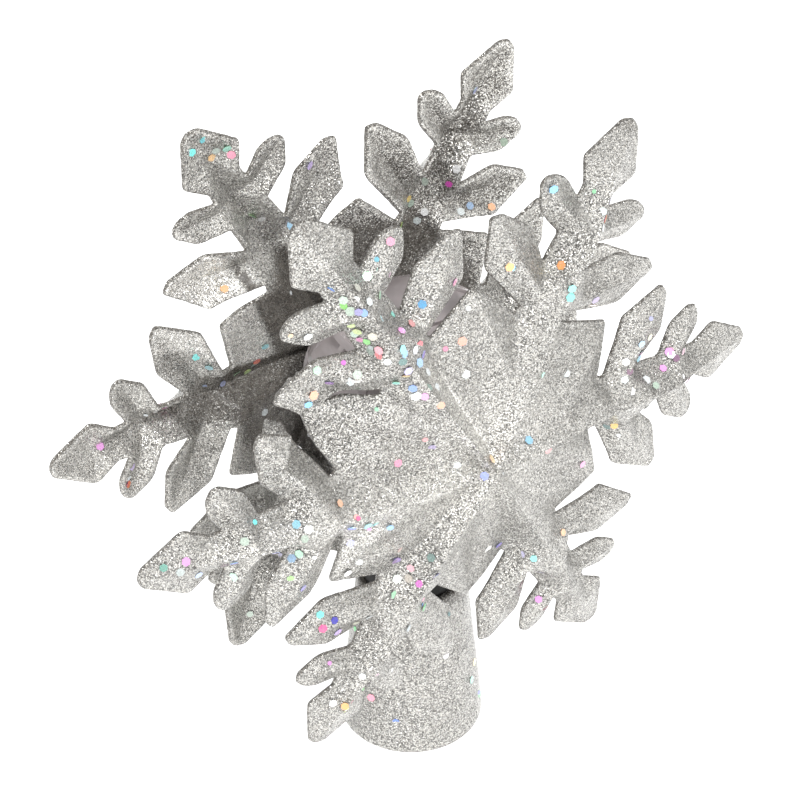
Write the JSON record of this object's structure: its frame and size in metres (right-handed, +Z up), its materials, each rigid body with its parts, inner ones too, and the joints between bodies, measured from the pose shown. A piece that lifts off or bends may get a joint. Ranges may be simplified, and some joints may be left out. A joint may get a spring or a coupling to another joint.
{
  "type": "light-up snowflake tree topper",
  "caption": "Free-standing snowflake tree topper: glitter-coated shells around a turning clear lens ball, on a tapered socket that slips over a tree tip.",
  "frame": {"origin": "centre of the flat bottom rim of the tree socket", "axes": "+Z up along the socket's axis; the front snowflake faces -Y; +X to the right seen from the front"},
  "size_m": [0.199, 0.084, 0.2056],
  "materials": {
    "glitter": "moulded plastic coated all over in fine silver glitter with scattered pastel sequins",
    "black_plastic": "fine moulded texture",
    "clear_plastic": "clear, faintly mauve, faceted",
    "nylon": "natural moulded",
    "steel": "bright",
    "circuit_board": "solder mask",
    "cable": "satin sheath",
    "led_red": "tinted clear",
    "led_green": "tinted clear",
    "led_blue": "tinted clear",
    "led_white": "tinted clear"
  },
  "bodies": {
    "topper_body": {"front_snowflake_shell": "glitter", "rear_snowflake_shell": "glitter", "tree_socket_cone": "glitter", "base_drum": "black_plastic", "drum_cap": "black_plastic", "motor_plate": "black_plastic", "power_socket": "black_plastic", "control_board": "circuit_board", "led_board": "circuit_board", "gear_motor": "steel", "thrust_washer": "steel", "light_post": "steel", "shell_screw_left": "steel", "shell_screw_right": "steel", "motor_screw_1": "steel", "motor_screw_2": "steel", "led_red": "led_red", "led_green": "led_green", "led_blue": "led_blue", "led_white": "led_white", "led_lead": "cable", "motor_lead": "cable"},
    "lens_ball": {"lens_ball_upper": "clear_plastic", "lens_ball_lower": "clear_plastic", "lens_carrier": "nylon", "drive_gear": "nylon"},
    "motor_shaft": {"motor_pinion": "steel"}
  },
  "joints": [
    {"name": "lens_spin", "type": "hinge", "parent": "topper_body", "child": "lens_ball", "pos_m": [0, 0, 0.124], "axis": [0, 0, 1], "continuous": true},
    {"name": "pinion_spin", "type": "hinge", "parent": "topper_body", "child": "motor_shaft", "pos_m": [0.008, 0, 0.084], "axis": [0, 0, 1], "continuous": true}
  ],
  "couplings": [
    {"joint": "pinion_spin", "follows": "lens_spin", "ratio": -3}
  ]
}
